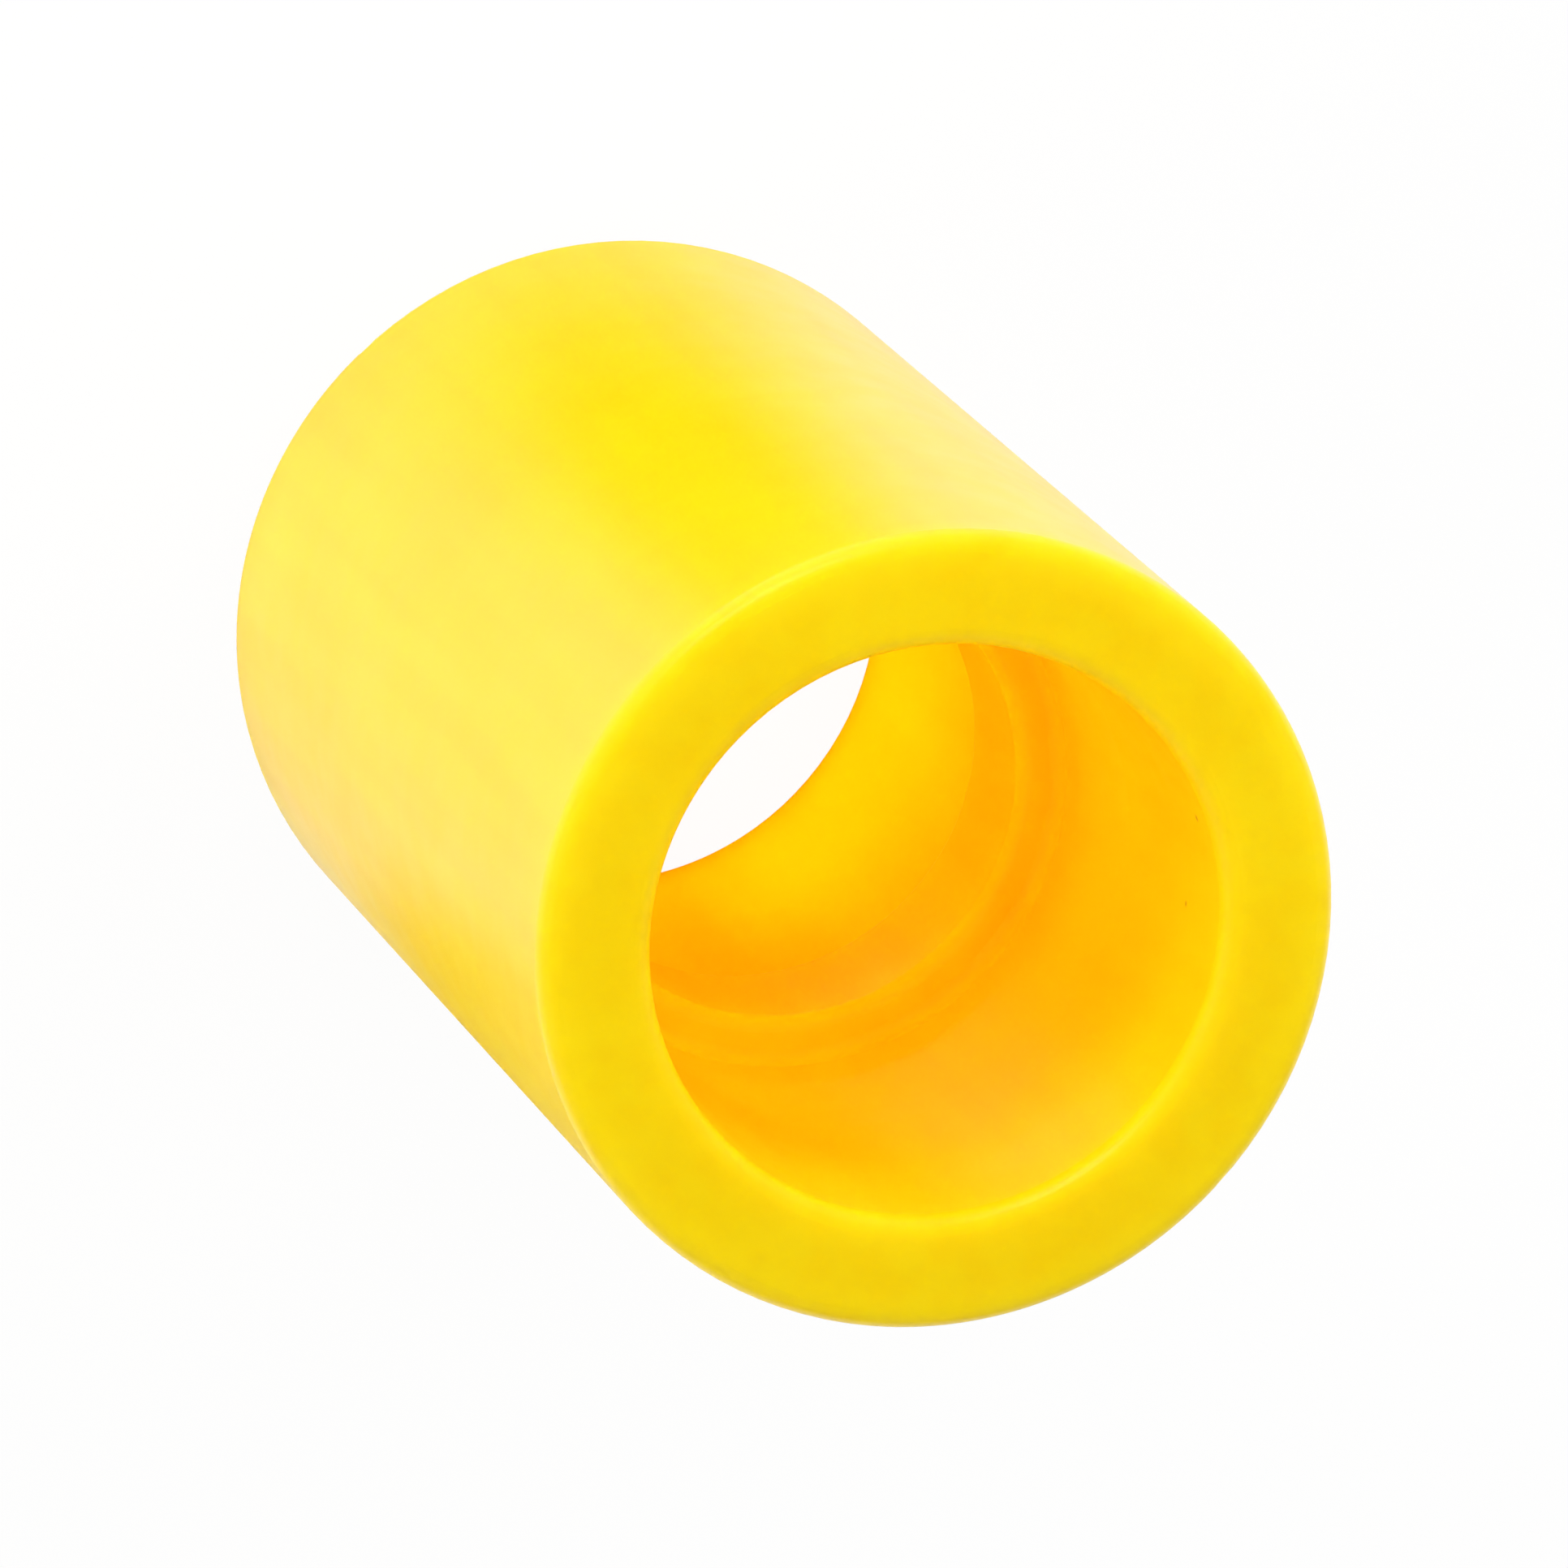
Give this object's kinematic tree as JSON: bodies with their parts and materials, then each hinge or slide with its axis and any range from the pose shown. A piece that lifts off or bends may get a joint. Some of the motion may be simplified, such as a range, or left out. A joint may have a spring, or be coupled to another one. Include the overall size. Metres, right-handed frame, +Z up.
{
  "type": "socket fusion coupling",
  "caption": "Thick-walled yellow polyethylene pipe coupling with a tapered fusion socket in each end and a centre stop.",
  "frame": {"origin": "centre of the lower end face, on the pipe axis", "axes": "+Z up along the pipe axis; the coupling is the same all round, and the same both ways up"},
  "size_m": [0.083, 0.083, 0.13],
  "materials": {
    "polyethylene": "waxy satin, as moulded, slightly translucent yellow"
  },
  "bodies": {
    "root": {"coupling": "polyethylene"}
  },
  "joints": []
}
